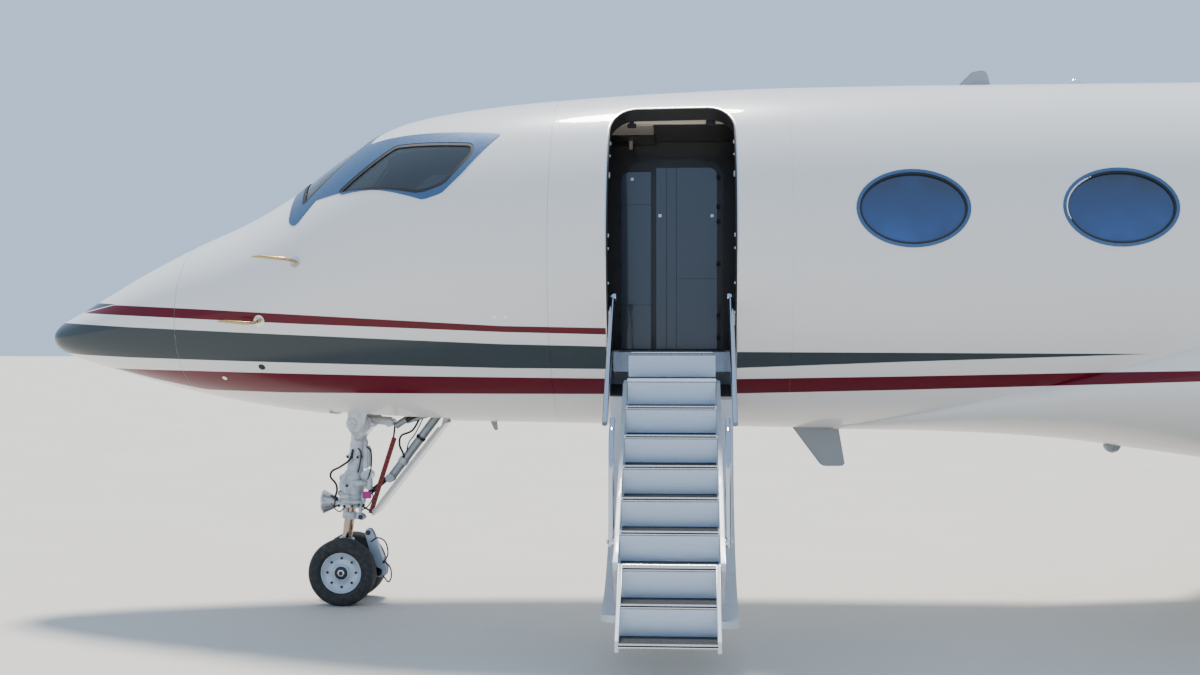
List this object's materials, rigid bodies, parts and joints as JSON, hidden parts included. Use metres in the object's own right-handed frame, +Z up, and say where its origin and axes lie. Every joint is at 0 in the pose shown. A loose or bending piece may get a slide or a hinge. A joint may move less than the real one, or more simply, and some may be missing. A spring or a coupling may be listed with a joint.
{
  "type": "business jet",
  "caption": "Long-range twin-engine business jet parked on its gear, entry stairs lowered, with swept wings, winglets, rear nacelles and a T-tail.",
  "frame": {"origin": "on the ground, under the middle of the overall length and span", "axes": "+X aft along the fuselage, -Y to port where the entry door is, +Z up"},
  "size_m": [30.41, 30.357, 7.82],
  "materials": {
    "white_paint": "gloss pearl white coat over metal skin",
    "window_glass": "dark blue coated panes",
    "stair_metal": "satin anodised",
    "chrome": "polished",
    "engine_metal": "satin titanium grey",
    "gear_paint": "satin light grey enamel",
    "tyre_rubber": "matte black rubber",
    "wheel_metal": "painted and machined wheel halves",
    "cabinet": "dark slate laminate",
    "seat_leather": "beige leather"
  },
  "bodies": {
    "airframe": {"radome": "white_paint", "nose_section": "white_paint", "cockpit_shell": "white_paint", "cockpit_glazing": "window_glass", "entry_section": "white_paint", "cabin_crown": "white_paint", "cabin_belly": "white_paint", "cabin_port_side": "white_paint", "cabin_starboard_side": "white_paint", "tail_cone": "white_paint", "belly_fairing": "white_paint", "port_wing": "white_paint", "starboard_wing": "white_paint", "tailplane": "white_paint", "fin": "white_paint", "port_nacelle": "white_paint", "port_engine": "engine_metal", "port_pylon": "white_paint", "starboard_nacelle": "white_paint", "starboard_engine": "engine_metal", "starboard_pylon": "white_paint", "nose_strut": "gear_paint", "nose_drag_brace": "gear_paint", "nose_gear_door": "white_paint", "port_main_leg": "gear_paint", "starboard_main_leg": "gear_paint", "instrument_panel": "cabinet", "pilot_seats": "seat_leather", "vestibule_cabinet": "cabinet", "port_cabin_seats": "seat_leather", "starboard_cabin_seats": "seat_leather"},
    "steered_leg": {"nose_fork": "chrome"},
    "nose_wheels": {"nose_port_tyre": "tyre_rubber", "nose_starboard_tyre": "tyre_rubber", "nose_hubs": "wheel_metal"},
    "port_main_wheels": {"port_inner_tyre": "tyre_rubber", "port_outer_tyre": "tyre_rubber", "port_main_hubs": "wheel_metal"},
    "starboard_main_wheels": {"starboard_inner_tyre": "tyre_rubber", "starboard_outer_tyre": "tyre_rubber", "starboard_main_hubs": "wheel_metal"},
    "port_fan_rotor": {"port_fan": "engine_metal"},
    "starboard_fan_rotor": {"starboard_fan": "engine_metal"},
    "airstair": {"airstair_skin": "white_paint", "airstair_steps": "stair_metal", "forward_lower_rail": "chrome", "aft_lower_rail": "chrome"},
    "folding_steps": {"lower_steps": "stair_metal"},
    "floor_plate": {"threshold_plate": "stair_metal"},
    "forward_rail": {"forward_upper_rail": "chrome"},
    "aft_rail": {"aft_upper_rail": "chrome"},
    "port_flap_panel": {"port_flap": "white_paint"},
    "starboard_flap_panel": {"starboard_flap": "white_paint"},
    "port_aileron_panel": {"port_aileron": "white_paint"},
    "starboard_aileron_panel": {"starboard_aileron": "white_paint"},
    "rudder_panel": {"rudder": "white_paint"},
    "port_elevator_panel": {"port_elevator": "white_paint"},
    "starboard_elevator_panel": {"starboard_elevator": "white_paint"}
  },
  "joints": [
    {"name": "nose_steering", "type": "hinge", "parent": "airframe", "child": "steered_leg", "pos_m": [-12.6, 0, 1.5], "axis": [0.1167, 0, 0.9932], "range_deg": [-82, 82]},
    {"name": "nose_wheel_spin", "type": "hinge", "parent": "steered_leg", "child": "nose_wheels", "pos_m": [-12.705, 0, 0.27161], "axis": [0, 1, 0], "continuous": true},
    {"name": "port_main_wheel_spin", "type": "hinge", "parent": "airframe", "child": "port_main_wheels", "pos_m": [-0.155, -2.3, 0.46421], "axis": [0, 1, 0], "continuous": true},
    {"name": "starboard_main_wheel_spin", "type": "hinge", "parent": "airframe", "child": "starboard_main_wheels", "pos_m": [-0.155, 2.3, 0.46421], "axis": [0, 1, 0], "continuous": true},
    {"name": "port_fan_spin", "type": "hinge", "parent": "airframe", "child": "port_fan_rotor", "pos_m": [5.9, -2.45, 3.36], "axis": [1, 0, 0], "continuous": true},
    {"name": "starboard_fan_spin", "type": "hinge", "parent": "airframe", "child": "starboard_fan_rotor", "pos_m": [5.9, 2.45, 3.36], "axis": [1, 0, 0], "continuous": true},
    {"name": "airstair_door", "type": "hinge", "parent": "airframe", "child": "airstair", "pos_m": [-9.9925, -0.84462, 1.76], "axis": [-1, 0, 0], "range_deg": [0, 132]},
    {"name": "lower_steps_fold", "type": "hinge", "parent": "airstair", "child": "folding_steps", "pos_m": [-9.9925, -2.65, 0.74], "axis": [-1, 0, 0], "range_deg": [0, 160]},
    {"name": "floor_plate_fold", "type": "hinge", "parent": "airframe", "child": "floor_plate", "pos_m": [-9.9925, -0.36, 2.075], "axis": [-1, 0, 0], "range_deg": [0, 100]},
    {"name": "forward_rail_fold", "type": "hinge", "parent": "airframe", "child": "forward_rail", "pos_m": [-10.426, -1.242, 2.5], "axis": [-1, 0, 0], "range_deg": [0, 200]},
    {"name": "aft_rail_fold", "type": "hinge", "parent": "airframe", "child": "aft_rail", "pos_m": [-9.559, -1.242, 2.5], "axis": [-1, 0, 0], "range_deg": [0, 200]},
    {"name": "port_flap_hinge", "type": "hinge", "parent": "airframe", "child": "port_flap_panel", "pos_m": [-0.155, -1.8, 1.64104], "axis": [-0.3597, 0.9318, -0.0489], "range_deg": [0, 39]},
    {"name": "starboard_flap_hinge", "type": "hinge", "parent": "airframe", "child": "starboard_flap_panel", "pos_m": [-0.155, 1.8, 1.64104], "axis": [0.3597, 0.9318, 0.0489], "range_deg": [0, 39]},
    {"name": "port_aileron_hinge", "type": "hinge", "parent": "airframe", "child": "port_aileron_panel", "pos_m": [2.645, -9.1, 2.02391], "axis": [-0.4372, 0.8981, -0.047], "range_deg": [-20, 20]},
    {"name": "starboard_aileron_hinge", "type": "hinge", "parent": "airframe", "child": "starboard_aileron_panel", "pos_m": [2.645, 9.1, 2.02391], "axis": [0.4372, 0.8981, 0.047], "range_deg": [-20, 20]},
    {"name": "rudder_hinge", "type": "hinge", "parent": "airframe", "child": "rudder_panel", "pos_m": [10.925, 0, 4.25], "axis": [0.4659, 0, 0.8849], "range_deg": [-22, 22]},
    {"name": "port_elevator_hinge", "type": "hinge", "parent": "airframe", "child": "port_elevator_panel", "pos_m": [12.645, -0.29, 7.6], "axis": [-0.4052, 0.9142, 0], "range_deg": [-24, 13]},
    {"name": "starboard_elevator_hinge", "type": "hinge", "parent": "airframe", "child": "starboard_elevator_panel", "pos_m": [12.645, 0.29, 7.6], "axis": [0.4052, 0.9142, 0], "range_deg": [-24, 13]}
  ],
  "couplings": [
    {"joint": "lower_steps_fold", "follows": "airstair_door", "ratio": 1.2121},
    {"joint": "floor_plate_fold", "follows": "airstair_door", "ratio": 0.7575},
    {"joint": "forward_rail_fold", "follows": "airstair_door", "ratio": 1.515},
    {"joint": "aft_rail_fold", "follows": "airstair_door", "ratio": 1.515},
    {"joint": "starboard_flap_hinge", "follows": "port_flap_hinge", "ratio": 1},
    {"joint": "starboard_aileron_hinge", "follows": "port_aileron_hinge", "ratio": -1},
    {"joint": "starboard_elevator_hinge", "follows": "port_elevator_hinge", "ratio": 1}
  ]
}
